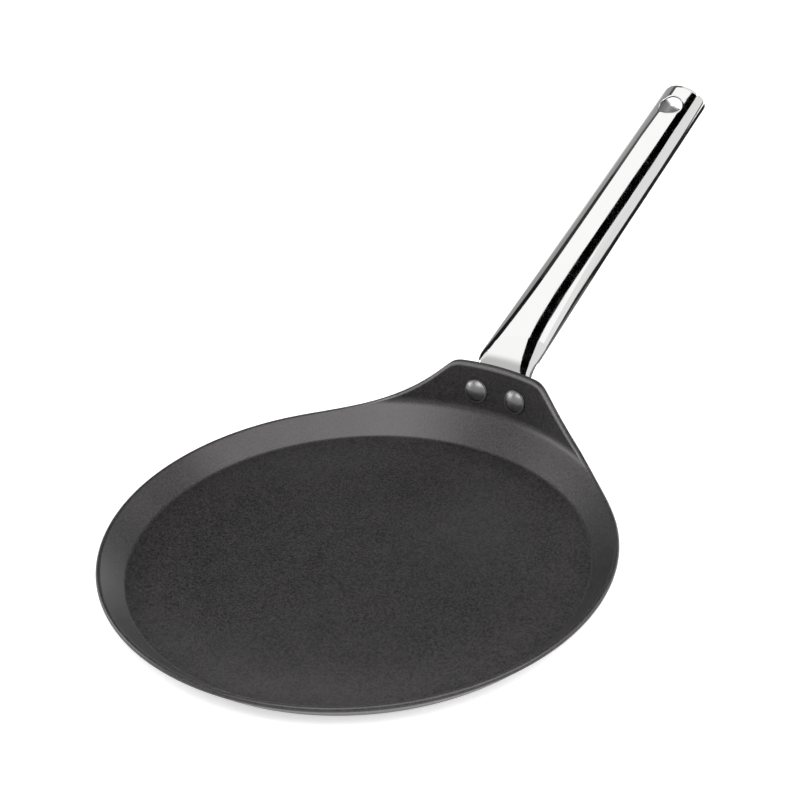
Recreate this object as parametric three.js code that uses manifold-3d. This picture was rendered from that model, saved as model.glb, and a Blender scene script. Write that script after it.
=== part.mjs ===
// A crepe pan: a shallow coated disc with a raised lug, and a tubular handle riveted behind the lug.
// Millimetres, +Z up. The origin is the centre of the underside, and the handle points along +Y.

import * as THREE from "three";
import { mergeVertices } from "three/addons/utils/BufferGeometryUtils.js";
import Module from "manifold-3d";

// Pan disc
const RIM_DIAMETER = 260;
const PAN_DEPTH = 11; // cooking floor to the top of the rim
const SHEET = 3;
const WALL_ANGLE = 44.5; // degrees from the floor
const FLOOR_CREASE_RADIUS = 2; // inside radius between floor and wall

// Lug: the wall carried on past part of the rim and bent up, thickening evenly to its top edge
const LUG_ANGLE = 78; // degrees from the floor
const LUG_THICKNESS = 4.2; // at the top edge
const LUG_BEND_START = 2.6; // wall's run past the rim's edge before the bend
const LUG_BEND_RADIUS = 9; // inside radius between wall and lug
const LUG_HEIGHT = 31.2; // along the sheet, from the rim's edge to the centre of the rounded top edge
const LUG_TOP_WIDTH = 53.5; // between the top corners, before they are rounded
const LUG_CROWN_RADIUS = 550; // of the slightly arched top edge
const LUG_CORNER_RADIUS = 11;
const LUG_FLANK_ANGLE = 42; // degrees from the rim
const LUG_FOOT_START = 23.5; // height over the rim where the flank begins its sweep into the rim
const LUG_FOOT_SWEEP = 3; // exponent of that sweep

// Handle: one tube, pressed shut into a flat tongue at the lug
const HANDLE_LENGTH = 221.1; // along the upper side, from the lug's top edge to the open end
const HANDLE_ANGLE = 22; // degrees above the floor
const HANDLE_WALL = 1.4;
const HANDLE_END_WIDTH = 26.4;
const HANDLE_END_HEIGHT = 21.8;
const HANDLE_BEND_RADIUS = 17; // upper side, where the tongue turns into the tube
const TONGUE_EDGE = 5.25; // from a rivet's centre to the tongue's side
const TONGUE_TAIL = 11; // from the rivets' centres to the tongue's lower end
const TONGUE_CORNER_RADIUS = 8;
const TONGUE_SQUARENESS = 5; // exponent of the tongue's superellipse section
const OVAL = 2; // exponent of the open end's section, a plain ellipse
const TONGUE_HOLD = 6.5; // from the rivets' centres to where the tongue starts to turn oval
const TONGUE_FADE = 8; // length over which it turns oval and leaves the lug's curve
const HANG_HOLE_DIAMETER = 13.5;
const HANG_HOLE_INSET = 15.5; // from the open end to the hole's centre

// Rivets
const RIVET_PITCH = 24.5;
const RIVET_DROP = 16; // from the lug's top edge to the rivets' centres
const RIVET_SHANK_DIAMETER = 6;
const RIVET_INNER_DIAMETER = 13.2;
const RIVET_INNER_DOME = 1.8;
const RIVET_OUTER_DIAMETER = 10.4; // the formed head behind the tongue is smaller and flatter
const RIVET_OUTER_DOME = 1.4;
const RIVET_HEAD_EDGE = 0.8; // straight rim under the dome

const CLEARANCE = 0.3; // between pieces that touch

// Smoothness
const RIM_STEPS = 60; // round the rim, outside the lug
const CROWN_STEPS = 6; // each half of the lug's edge: top, corner, flank and foot
const CORNER_STEPS = 4;
const FLANK_STEPS = 1;
const FOOT_STEPS = 14;
const CREASE_STEPS = 3;
const FOLD_STEPS = 4; // between wall and lug
const EDGE_STEPS = 4; // round the sheet's edge
const LIP = 3; // strip of wall under the rim's edge that shares the lug's rows
const SECTION_STEPS = 28; // round the handle
const TUBE_STEPS = 14; // along the handle
const HOLD_STEPS = 2; // from the held part of the tongue to the bend
const BEND_STEPS = 6;
const TAIL_STEPS = 4;
const ROUND_STEPS = 24; // round a rivet or a hole
const DOME_STEPS = 5;

const wasm = await Module();
wasm.setup();

const radians = THREE.MathUtils.degToRad;
const lerp = THREE.MathUtils.lerp;

// Solids

// A closed skin over rings of points. Each ring is a loop with as many points as the others.
function loft(rings) {
  const size = rings[0].length;
  const points = rings.flat();
  const first = points.length;
  const last = first + 1;
  points.push(middle(rings[0]), middle(rings.at(-1)));
  const faces = [];
  for (let i = 0; i < size; i++) {
    const next = (i + 1) % size;
    for (let j = 0; j + 1 < rings.length; j++) {
      const a = j * size;
      const b = a + size;
      faces.push(a + i, a + next, b + i);
      faces.push(a + next, b + next, b + i);
    }
    const top = (rings.length - 1) * size;
    faces.push(first, next, i);
    faces.push(last, top + i, top + next);
  }
  const geometry = new THREE.BufferGeometry().setFromPoints(points);
  geometry.setIndex(faces);
  return geometry;
}

function middle(ring) {
  const sum = new THREE.Vector3();
  for (const point of ring) {
    sum.add(point);
  }
  return sum.divideScalar(ring.length);
}

function solidOf(geometry) {
  const bare = geometry.clone();
  bare.deleteAttribute("normal");
  bare.deleteAttribute("uv");
  const merged = mergeVertices(bare);
  const vertProperties = merged.getAttribute("position").array;
  const triVerts = new Uint32Array(merged.index.array);
  return new wasm.Manifold(new wasm.Mesh({ numProp: 3, vertProperties, triVerts }));
}

function geometryOf(solid) {
  const mesh = solid.getMesh();
  const geometry = new THREE.BufferGeometry();
  geometry.setAttribute("position", new THREE.BufferAttribute(mesh.vertProperties, mesh.numProp));
  geometry.setIndex(new THREE.BufferAttribute(mesh.triVerts, 1));
  geometry.computeVertexNormals();
  return geometry;
}

// A round cutter of a given reach to both sides of a point.
function drill(diameter, reach, centre, axis) {
  const geometry = new THREE.CylinderGeometry(diameter / 2, diameter / 2, 2 * reach, ROUND_STEPS);
  geometry.applyQuaternion(turnTo(axis));
  geometry.translate(centre.x, centre.y, centre.z);
  return solidOf(geometry);
}

function turnTo(axis) {
  return new THREE.Quaternion().setFromUnitVectors(new THREE.Vector3(0, 1, 0), axis);
}

// The sheet's middle line, from the floor up the wall and the lug, as radius and height

const wallAngle = radians(WALL_ANGLE);
const lugAngle = radians(LUG_ANGLE);
const half = SHEET / 2;
const rimRadius = RIM_DIAMETER / 2 - half; // at the centre of the rounded edge
const rimHeight = SHEET + PAN_DEPTH - half;
const creaseRadius = FLOOR_CREASE_RADIUS + half;
const creaseTangent = creaseRadius * Math.tan(wallAngle / 2);
const floorRadius = rimRadius - (rimHeight - half) / Math.tan(wallAngle) - creaseTangent;
const bendRadius = LUG_BEND_RADIUS + half;
const bendLength = bendRadius * (lugAngle - wallAngle);
const bendEnd = LUG_BEND_START + bendLength;

// Point, direction and half thickness at a distance along the line past the rim's edge, which is 0.
function sheetLine(past) {
  const wall = Math.min(past, LUG_BEND_START);
  const bent = THREE.MathUtils.clamp(past - LUG_BEND_START, 0, bendLength);
  const straight = Math.max(past - bendEnd, 0);
  const angle = wallAngle + bent / bendRadius;
  const r =
    rimRadius +
    wall * Math.cos(wallAngle) +
    bendRadius * (Math.sin(angle) - Math.sin(wallAngle)) +
    straight * Math.cos(lugAngle);
  const z =
    rimHeight +
    wall * Math.sin(wallAngle) +
    bendRadius * (Math.cos(wallAngle) - Math.cos(angle)) +
    straight * Math.sin(lugAngle);
  const share = THREE.MathUtils.clamp(past / LUG_HEIGHT, 0, 1);
  return { r, z, angle, half: lerp(SHEET, LUG_THICKNESS, share) / 2 };
}

// A point beside the line. Positive is the outside of the pan.
function besideLine(at, offset) {
  return { r: at.r + offset * Math.sin(at.angle), z: at.z - offset * Math.cos(at.angle) };
}

// The lug's edge: crown, corner, flank and foot, as height over the rim against arc length from the middle

const flank = radians(LUG_FLANK_ANGLE);
const topHalf = LUG_TOP_WIDTH / 2;
const crownCentre = LUG_HEIGHT - LUG_CROWN_RADIUS;
const topCorner = new THREE.Vector2(topHalf, crownCentre + Math.sqrt(LUG_CROWN_RADIUS ** 2 - topHalf ** 2));
const corner = cornerCircle();
const crownEnd = (corner.x * LUG_CROWN_RADIUS) / (LUG_CROWN_RADIUS - LUG_CORNER_RADIUS);
const flankStart = corner.x + LUG_CORNER_RADIUS * Math.sin(flank);
const flankFoot = topHalf + topCorner.y / Math.tan(flank);
const footStart = Math.min(LUG_FOOT_START, (flankFoot - flankStart) * Math.tan(flank));
const flankEnd = flankFoot - footStart / Math.tan(flank);
const footLength = (LUG_FOOT_SWEEP * footStart) / Math.tan(flank);
const lugEnd = flankEnd + footLength;

// Centre of the circle that touches the crown from inside and the flank.
function cornerCircle() {
  const along = new THREE.Vector2(Math.cos(flank), -Math.sin(flank));
  const inward = new THREE.Vector2(-Math.sin(flank), -Math.cos(flank));
  const start = topCorner.clone().addScaledVector(inward, LUG_CORNER_RADIUS);
  const fromCrown = start.clone().sub(new THREE.Vector2(0, crownCentre));
  const b = fromCrown.dot(along);
  const c = fromCrown.lengthSq() - (LUG_CROWN_RADIUS - LUG_CORNER_RADIUS) ** 2;
  return start.addScaledVector(along, -b - Math.sqrt(b * b - c));
}

function lugRise(x) {
  if (x <= crownEnd) {
    return crownCentre + Math.sqrt(LUG_CROWN_RADIUS ** 2 - x ** 2);
  }
  if (x <= flankStart) {
    return corner.y + Math.sqrt(LUG_CORNER_RADIUS ** 2 - (x - corner.x) ** 2);
  }
  if (x <= flankEnd) {
    return (flankFoot - x) * Math.tan(flank);
  }
  if (x < lugEnd) {
    return footStart * ((lugEnd - x) / footLength) ** LUG_FOOT_SWEEP;
  }
  return 0;
}

// Pan body

// Distances of the sheet's rows past the rim's edge, where the edge itself has risen by some height.
function rowsUpTo(rise) {
  const bent = evenly(LUG_BEND_START, bendEnd, FOLD_STEPS);
  const wanted = [-LIP, 0, ...bent, bendEnd, (bendEnd + rise) / 2, rise];
  const count = wanted.length - 1;
  return wanted.map((past, k) => Math.min(past, -LIP + ((LIP + rise) * k) / count));
}

// The sheet's outline at one place on the rim, from the underside round the edge to the floor.
function sheetProfile(rise) {
  const outside = [];
  const inside = [];
  for (let k = 0; k <= CREASE_STEPS; k++) {
    const angle = (wallAngle * k) / CREASE_STEPS;
    const r = floorRadius + creaseRadius * Math.sin(angle);
    const z = half + creaseRadius * (1 - Math.cos(angle));
    outside.push(besideLine({ r, z, angle }, half));
    inside.push(besideLine({ r, z, angle }, -half));
  }
  for (const past of rowsUpTo(rise)) {
    const at = sheetLine(past);
    outside.push(besideLine(at, at.half));
    inside.push(besideLine(at, -at.half));
  }
  const end = sheetLine(rise);
  const edge = [];
  for (let k = 1; k < EDGE_STEPS; k++) {
    const turn = end.angle - Math.PI / 2 + (Math.PI * k) / EDGE_STEPS;
    edge.push({ r: end.r + end.half * Math.cos(turn), z: end.z + end.half * Math.sin(turn) });
  }
  return [...outside, ...edge, ...inside.reverse()];
}

// Places round the rim, as an angle from the handle's direction and the height of the edge there.
function rimStations() {
  const stretches = [
    [0, crownEnd, CROWN_STEPS],
    [crownEnd, flankStart, CORNER_STEPS],
    [flankStart, flankEnd, FLANK_STEPS],
    [flankEnd, lugEnd, FOOT_STEPS],
  ].filter(([from, to]) => to > from);
  const side = [];
  for (const [from, to, steps] of stretches) {
    for (let k = 1; k <= steps; k++) {
      const rise = lugRise(lerp(from, to, k / steps));
      side.push({ angle: lerp(from, to, k / steps) / sheetLine(rise).r, rise });
    }
  }
  const foot = side.at(-1).angle;
  const plain = [];
  for (let k = 1; k < RIM_STEPS; k++) {
    plain.push({ angle: lerp(foot, 2 * Math.PI - foot, k / RIM_STEPS), rise: 0 });
  }
  const mirrored = side.map(({ angle, rise }) => ({ angle: 2 * Math.PI - angle, rise })).reverse();
  return [{ angle: 0, rise: lugRise(0) }, ...side, ...plain, ...mirrored];
}

function panBody() {
  const columns = rimStations().map(({ angle, rise }) => {
    const direction = angle + Math.PI / 2;
    const turned = ({ r, z }) => new THREE.Vector3(r * Math.cos(direction), r * Math.sin(direction), z);
    return sheetProfile(rise).map(turned);
  });
  const rings = columns[0].map((point, row) => columns.map((column) => column[row]));
  return rivetHoles(solidOf(loft(rings)));
}

// Rivets

const rivetSeat = sheetLine(LUG_HEIGHT + LUG_THICKNESS / 2 - RIVET_DROP);
const rivetAngle = Math.asin(RIVET_PITCH / 2 / rivetSeat.r);
const tongueThickness = 2 * HANDLE_WALL;
const innerSeat = rivetSeat.half + CLEARANCE;
const outerSeat = rivetSeat.half + CLEARANCE + tongueThickness + CLEARANCE;

// Centre in the sheet, and axis towards the inside of the pan. Side is -1 or 1 for left or right.
function rivetPlace(side) {
  const direction = Math.PI / 2 - side * rivetAngle;
  const outward = new THREE.Vector3(Math.cos(direction), Math.sin(direction), 0);
  const centre = outward.clone().multiplyScalar(rivetSeat.r).setZ(rivetSeat.z);
  const axis = outward.multiplyScalar(-Math.sin(rivetSeat.angle)).setZ(Math.cos(rivetSeat.angle));
  return { centre, axis };
}

function rivetHoles(solid) {
  const diameter = RIVET_SHANK_DIAMETER + 2 * CLEARANCE;
  let drilled = solid;
  for (const side of [-1, 1]) {
    const { centre, axis } = rivetPlace(side);
    drilled = drilled.subtract(drill(diameter, 2 * outerSeat, centre, axis));
  }
  return drilled;
}

function headProfile(diameter, dome, seat) {
  const radius = diameter / 2;
  const points = [new THREE.Vector2(radius, seat)];
  for (let k = 0; k <= DOME_STEPS; k++) {
    const turn = ((Math.PI / 2) * k) / DOME_STEPS;
    const height = seat + RIVET_HEAD_EDGE + dome * Math.sin(turn);
    points.push(new THREE.Vector2(k < DOME_STEPS ? radius * Math.cos(turn) : 0, height));
  }
  return points;
}

function rivet(side) {
  const shank = RIVET_SHANK_DIAMETER / 2;
  const flip = ({ x, y }) => new THREE.Vector2(x, -y);
  const profile = [
    ...headProfile(RIVET_OUTER_DIAMETER, RIVET_OUTER_DOME, outerSeat).map(flip).reverse(),
    new THREE.Vector2(shank, -outerSeat),
    new THREE.Vector2(shank, innerSeat),
    ...headProfile(RIVET_INNER_DIAMETER, RIVET_INNER_DOME, innerSeat),
  ];
  const mesh = new THREE.Mesh(new THREE.LatheGeometry(profile, ROUND_STEPS), rivetMetal);
  const { centre, axis } = rivetPlace(side);
  mesh.position.copy(centre);
  mesh.quaternion.copy(turnTo(axis));
  return mesh;
}

// Handle: its upper side lies behind the lug, turns at the lug's top edge and then runs straight

const handleAngle = radians(HANDLE_ANGLE);
const tongueAngle = lugAngle - Math.atan2((LUG_THICKNESS - SHEET) / 2, LUG_HEIGHT); // along the lug's back
const handleTurn = tongueAngle - handleAngle;
const turnTangent = HANDLE_BEND_RADIUS * Math.tan(handleTurn / 2);
const turnLength = HANDLE_BEND_RADIUS * handleTurn;
const tongueLength = RIVET_DROP + TONGUE_TAIL - turnTangent;
const tubeLength = turnLength + HANDLE_LENGTH - turnTangent;
const handleEnd = tongueLength + tubeLength;
const tongueHold = Math.min(TONGUE_TAIL + TONGUE_HOLD, tongueLength);
const tongueHalf = RIVET_PITCH / 2 + TONGUE_EDGE;
const tongueSeat = besideLine(rivetSeat, rivetSeat.half + CLEARANCE);
const lugRound = rivetSeat.r / Math.sin(lugAngle); // radius of the lug's curve across the tongue

// Point of the handle's upper side, as a Vector3 in the plane of symmetry, with its direction.
function upperSide(distance) {
  const tongue = Math.min(distance, tongueLength);
  const turn = THREE.MathUtils.clamp((distance - tongueLength) / HANDLE_BEND_RADIUS, 0, handleTurn);
  const straight = Math.max(distance - tongueLength - turnLength, 0);
  const angle = tongueAngle - turn;
  const y =
    tongueSeat.r +
    (tongue - TONGUE_TAIL) * Math.cos(tongueAngle) +
    HANDLE_BEND_RADIUS * (Math.sin(tongueAngle) - Math.sin(angle)) +
    straight * Math.cos(angle);
  const z =
    tongueSeat.z +
    (tongue - TONGUE_TAIL) * Math.sin(tongueAngle) +
    HANDLE_BEND_RADIUS * (Math.cos(angle) - Math.cos(tongueAngle)) +
    straight * Math.sin(angle);
  return { point: new THREE.Vector3(0, y, z), angle };
}

// Half width, half height and squareness of the section, and how far it still follows the lug's curve.
function sectionAt(distance) {
  const share = THREE.MathUtils.clamp((distance - tongueLength) / tubeLength, 0, 1);
  const toTail = Math.max(TONGUE_CORNER_RADIUS - distance, 0);
  const rounded = TONGUE_CORNER_RADIUS - Math.sqrt(TONGUE_CORNER_RADIUS ** 2 - toTail ** 2);
  const flat = 1 - THREE.MathUtils.smoothstep(distance, tongueHold, tongueHold + TONGUE_FADE);
  return {
    width: lerp(tongueHalf, HANDLE_END_WIDTH / 2, share) - rounded,
    height: lerp(HANDLE_WALL, HANDLE_END_HEIGHT / 2, share),
    squareness: lerp(OVAL, TONGUE_SQUARENESS, flat),
    bow: flat,
  };
}

// One loop of the handle's skin, or of its bore where inset is the wall.
function handleRing(distance, inset) {
  const { point, angle } = upperSide(distance);
  const { width, height, squareness, bow } = sectionAt(distance);
  const up = new THREE.Vector3(0, -Math.sin(angle), Math.cos(angle));
  const ring = [];
  for (let k = 0; k < SECTION_STEPS; k++) {
    const turn = (2 * Math.PI * k) / SECTION_STEPS;
    const x = (width - inset) * rounding(Math.sin(turn), squareness);
    const y = (height - inset) * rounding(Math.cos(turn), squareness);
    const curve = bow * (lugRound - Math.sqrt(lugRound ** 2 - x ** 2));
    ring.push(point.clone().setX(x).addScaledVector(up, y - height + curve));
  }
  return ring;
}

function rounding(value, squareness) {
  return Math.sign(value) * Math.abs(value) ** (2 / squareness);
}

function evenly(from, to, steps) {
  return Array.from({ length: steps }, (_, k) => lerp(from, to, k / steps));
}

function handle() {
  const tail = Math.min(TONGUE_CORNER_RADIUS, tongueLength);
  const tailPlaces = evenly(0, 1, TAIL_STEPS).map((share) => tail * share ** 2);
  const turnEnd = tongueLength + turnLength;
  const outer = [
    ...tailPlaces,
    tail,
    ...evenly(tongueHold, tongueLength, HOLD_STEPS),
    ...evenly(tongueLength, turnEnd, BEND_STEPS),
    ...evenly(turnEnd, handleEnd, TUBE_STEPS),
    handleEnd,
  ];
  const pressedShut = (2 * HANDLE_WALL) / HANDLE_END_HEIGHT; // share of the tube with no bore yet
  const boreStart = tongueLength + tubeLength * pressedShut;
  const bore = [...evenly(boreStart, handleEnd, TUBE_STEPS), handleEnd, handleEnd + HANDLE_WALL];
  const skin = solidOf(loft(outer.map((distance) => handleRing(distance, 0))));
  const hollow = solidOf(loft(bore.map((distance) => handleRing(distance, HANDLE_WALL))));
  const { point, angle } = upperSide(handleEnd - HANG_HOLE_INSET);
  const across = new THREE.Vector3(0, -Math.sin(angle), Math.cos(angle));
  const hangHole = drill(HANG_HOLE_DIAMETER, 2 * HANDLE_END_HEIGHT, point, across);
  return rivetHoles(skin.subtract(hollow).subtract(hangHole));
}

// Assembly

const coat = new THREE.MeshStandardMaterial({ color: 0x3d3c3c, roughness: 0.6, metalness: 0.1 });
const polishedSteel = new THREE.MeshStandardMaterial({ color: 0xdcdcdc, roughness: 0.06, metalness: 1 });
const rivetMetal = new THREE.MeshStandardMaterial({ color: 0x9c9b99, roughness: 0.4, metalness: 1 });

const bodyMesh = new THREE.Mesh(geometryOf(panBody()), coat);
bodyMesh.name = "pan_body";

const handleMesh = new THREE.Mesh(geometryOf(handle()), polishedSteel);
handleMesh.name = "handle";

const rivets = new THREE.Group();
for (const [name, side] of [["rivet_left", -1], ["rivet_right", 1]]) {
  const mesh = rivet(side);
  mesh.name = name;
  rivets.add(mesh);
}

const pan = new THREE.Group();
pan.add(bodyMesh, handleMesh, rivets);

export default pan;
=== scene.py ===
"""A crepe pan on a pale studio floor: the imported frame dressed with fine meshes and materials."""

from math import asin, atan2, cos, pi, radians, sin, sqrt, tan

import bmesh
import bpy
import numpy as np
from mathutils import Matrix, Vector


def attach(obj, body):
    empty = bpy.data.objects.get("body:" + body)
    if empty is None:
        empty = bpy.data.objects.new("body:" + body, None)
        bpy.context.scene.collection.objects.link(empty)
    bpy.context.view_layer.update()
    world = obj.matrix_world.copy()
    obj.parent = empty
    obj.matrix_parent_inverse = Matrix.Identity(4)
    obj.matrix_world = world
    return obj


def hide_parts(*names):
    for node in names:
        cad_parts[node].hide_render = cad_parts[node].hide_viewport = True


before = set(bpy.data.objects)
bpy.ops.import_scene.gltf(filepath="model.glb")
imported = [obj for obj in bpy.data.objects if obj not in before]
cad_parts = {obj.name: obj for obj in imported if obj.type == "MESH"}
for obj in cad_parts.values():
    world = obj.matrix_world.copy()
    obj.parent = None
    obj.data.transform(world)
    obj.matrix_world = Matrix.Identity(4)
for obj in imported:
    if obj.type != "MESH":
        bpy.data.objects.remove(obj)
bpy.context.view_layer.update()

MM = 0.001

# Sizes of the part, in millimetres and degrees
RIM_DIAMETER = 260
PAN_DEPTH = 11
SHEET = 3
WALL_ANGLE = 44.5
FLOOR_CREASE_RADIUS = 2
LUG_ANGLE = 78
LUG_THICKNESS = 4.2
LUG_BEND_START = 2.6
LUG_BEND_RADIUS = 9
LUG_HEIGHT = 31.2
LUG_TOP_WIDTH = 53.5
LUG_CROWN_RADIUS = 550
LUG_CORNER_RADIUS = 11
LUG_FLANK_ANGLE = 42
LUG_FOOT_START = 23.5
LUG_FOOT_SWEEP = 3
HANDLE_LENGTH = 221.1
HANDLE_ANGLE = 22
HANDLE_WALL = 1.4
HANDLE_END_WIDTH = 26.4
HANDLE_END_HEIGHT = 21.8
HANDLE_BEND_RADIUS = 17
TONGUE_EDGE = 5.25
TONGUE_TAIL = 11
TONGUE_CORNER_RADIUS = 8
TONGUE_SQUARENESS = 5
OVAL = 2
TONGUE_HOLD = 6.5
TONGUE_FADE = 8
HANG_HOLE_DIAMETER = 13.5
HANG_HOLE_INSET = 15.5
RIVET_PITCH = 24.5
RIVET_DROP = 16
RIVET_SHANK_DIAMETER = 6
RIVET_INNER_DIAMETER = 13.2
RIVET_INNER_DOME = 1.8
RIVET_OUTER_DIAMETER = 10.4
RIVET_OUTER_DOME = 1.4
RIVET_HEAD_EDGE = 0.8
CLEARANCE = 0.3

# The sheet's middle line, as radius and height

wall_angle = radians(WALL_ANGLE)
lug_angle = radians(LUG_ANGLE)
half_sheet = SHEET / 2
rim_radius = RIM_DIAMETER / 2 - half_sheet
rim_height = SHEET + PAN_DEPTH - half_sheet
crease_radius = FLOOR_CREASE_RADIUS + half_sheet
crease_tangent = crease_radius * tan(wall_angle / 2)
floor_radius = rim_radius - (rim_height - half_sheet) / tan(wall_angle) - crease_tangent
bend_radius = LUG_BEND_RADIUS + half_sheet
bend_length = bend_radius * (lug_angle - wall_angle)
bend_end = LUG_BEND_START + bend_length
wall_length = (rim_height - half_sheet - crease_radius * (1 - cos(wall_angle))) / sin(wall_angle)


def sheet_line(past):
    """Radius, height, direction and half thickness at distances past the rim's edge."""
    past = np.asarray(past, float)
    wall = np.minimum(past, LUG_BEND_START)
    bent = np.clip(past - LUG_BEND_START, 0, bend_length)
    straight = np.maximum(past - bend_end, 0)
    angle = wall_angle + bent / bend_radius
    r = (
        rim_radius
        + wall * cos(wall_angle)
        + bend_radius * (np.sin(angle) - sin(wall_angle))
        + straight * cos(lug_angle)
    )
    z = (
        rim_height
        + wall * sin(wall_angle)
        + bend_radius * (cos(wall_angle) - np.cos(angle))
        + straight * sin(lug_angle)
    )
    share = np.clip(past / LUG_HEIGHT, 0, 1)
    return r, z, angle, (SHEET + (LUG_THICKNESS - SHEET) * share) / 2


def beside_line(at, offset):
    """Radius and height beside the line. Positive is the outside of the pan."""
    return at[0] + offset * np.sin(at[2]), at[1] - offset * np.cos(at[2])


def round_pan(angle, r, z):
    """Points at angles from the handle's direction."""
    direction = np.asarray(angle) + pi / 2
    return np.stack(np.broadcast_arrays(r * np.cos(direction), r * np.sin(direction), z), -1)


# The lug's edge

flank = radians(LUG_FLANK_ANGLE)
top_half = LUG_TOP_WIDTH / 2
crown_centre = LUG_HEIGHT - LUG_CROWN_RADIUS
top_corner = np.array([top_half, crown_centre + sqrt(LUG_CROWN_RADIUS**2 - top_half**2)])


def corner_circle():
    """Centre of the circle that touches the crown from inside and the flank."""
    along = np.array([cos(flank), -sin(flank)])
    start = top_corner + LUG_CORNER_RADIUS * np.array([-sin(flank), -cos(flank)])
    from_crown = start - np.array([0, crown_centre])
    b = from_crown @ along
    c = from_crown @ from_crown - (LUG_CROWN_RADIUS - LUG_CORNER_RADIUS) ** 2
    return start + along * (-b - sqrt(b * b - c))


corner = corner_circle()
crown_end = corner[0] * LUG_CROWN_RADIUS / (LUG_CROWN_RADIUS - LUG_CORNER_RADIUS)
flank_start = corner[0] + LUG_CORNER_RADIUS * sin(flank)
flank_foot = top_half + top_corner[1] / tan(flank)
foot_start = min(LUG_FOOT_START, (flank_foot - flank_start) * tan(flank))
flank_end = flank_foot - foot_start / tan(flank)
foot_length = LUG_FOOT_SWEEP * foot_start / tan(flank)
lug_end = flank_end + foot_length


def lug_rise(x):
    if x <= crown_end:
        return crown_centre + sqrt(LUG_CROWN_RADIUS**2 - x**2)
    if x <= flank_start:
        return corner[1] + sqrt(LUG_CORNER_RADIUS**2 - (x - corner[0]) ** 2)
    if x <= flank_end:
        return (flank_foot - x) * tan(flank)
    if x < lug_end:
        return foot_start * ((lug_end - x) / foot_length) ** LUG_FOOT_SWEEP
    return 0.0


# Rivet places

seat_past = LUG_HEIGHT + LUG_THICKNESS / 2 - RIVET_DROP
seat = [float(v) for v in sheet_line(seat_past)]
rivet_angle = asin(RIVET_PITCH / 2 / seat[0])
tongue_thickness = 2 * HANDLE_WALL
inner_seat = seat[3] + CLEARANCE
outer_seat = seat[3] + CLEARANCE + tongue_thickness + CLEARANCE
rivet_hole = RIVET_SHANK_DIAMETER / 2 + CLEARANCE

# Handle lines

handle_angle = radians(HANDLE_ANGLE)
tongue_angle = lug_angle - atan2((LUG_THICKNESS - SHEET) / 2, LUG_HEIGHT)
handle_turn = tongue_angle - handle_angle
turn_tangent = HANDLE_BEND_RADIUS * tan(handle_turn / 2)
turn_length = HANDLE_BEND_RADIUS * handle_turn
tongue_length = RIVET_DROP + TONGUE_TAIL - turn_tangent
tube_length = turn_length + HANDLE_LENGTH - turn_tangent
handle_end = tongue_length + tube_length
tongue_hold = min(TONGUE_TAIL + TONGUE_HOLD, tongue_length)
tongue_half = RIVET_PITCH / 2 + TONGUE_EDGE
tongue_seat = beside_line(seat, seat[3] + CLEARANCE)
lug_round = seat[0] / sin(lug_angle)


def upper_side(d):
    """Depth, height and direction of the handle's upper side."""
    tongue = np.minimum(d, tongue_length)
    turn = np.clip((d - tongue_length) / HANDLE_BEND_RADIUS, 0, handle_turn)
    straight = np.maximum(d - tongue_length - turn_length, 0)
    angle = tongue_angle - turn
    y = (
        tongue_seat[0]
        + (tongue - TONGUE_TAIL) * cos(tongue_angle)
        + HANDLE_BEND_RADIUS * (sin(tongue_angle) - np.sin(angle))
        + straight * np.cos(angle)
    )
    z = (
        tongue_seat[1]
        + (tongue - TONGUE_TAIL) * sin(tongue_angle)
        + HANDLE_BEND_RADIUS * (np.cos(angle) - cos(tongue_angle))
        + straight * np.sin(angle)
    )
    return y, z, angle


def section_at(d):
    """Half width, half height, squareness and bow of the handle's section."""
    share = np.clip((d - tongue_length) / tube_length, 0, 1)
    to_tail = np.clip(TONGUE_CORNER_RADIUS - d, 0, TONGUE_CORNER_RADIUS)
    rounded = TONGUE_CORNER_RADIUS - np.sqrt(TONGUE_CORNER_RADIUS**2 - to_tail**2)
    width = tongue_half + (HANDLE_END_WIDTH / 2 - tongue_half) * share - rounded
    height = HANDLE_WALL + (HANDLE_END_HEIGHT / 2 - HANDLE_WALL) * share
    fade = np.clip((d - tongue_hold) / TONGUE_FADE, 0, 1)
    flat = 1 - fade * fade * (3 - 2 * fade)
    return width, height, OVAL + (TONGUE_SQUARENESS - OVAL) * flat, flat


def stretch(u, squareness):
    return (np.abs(np.sin(u)) ** squareness + np.abs(np.cos(u)) ** squareness) ** (-1 / squareness)


def handle_skin(d, u, inset):
    """Points of the handle's skin, or of its bore, at distances d and turns u from the upper side."""
    d, u, inset = np.broadcast_arrays(np.asarray(d, float), u, inset)
    y, z, angle = upper_side(d)
    width, height, squareness, bow = section_at(d)
    s = stretch(u, squareness)
    x = (width - inset) * s * np.sin(u)
    v = (height - inset) * s * np.cos(u)
    lift = v - height + bow * (lug_round - np.sqrt(lug_round**2 - x**2))
    return np.stack([x, y - np.sin(angle) * lift, z + np.cos(angle) * lift], -1)


def turn_of(d, x, inset, under):
    """The turn at which the skin stands at x, on the upper side or under it."""
    width, _, squareness, _ = section_at(d)
    share = np.clip(x / (width - inset), -0.999, 0.999)
    low = np.full(np.shape(share), -pi / 2)
    high = -low
    for _ in range(40):
        middle = (low + high) / 2
        less = stretch(middle, squareness) * np.sin(middle) < share
        low = np.where(less, middle, low)
        high = np.where(less, high, middle)
    return pi - low if under else low


# Meshes

MARK = "mark"


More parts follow.
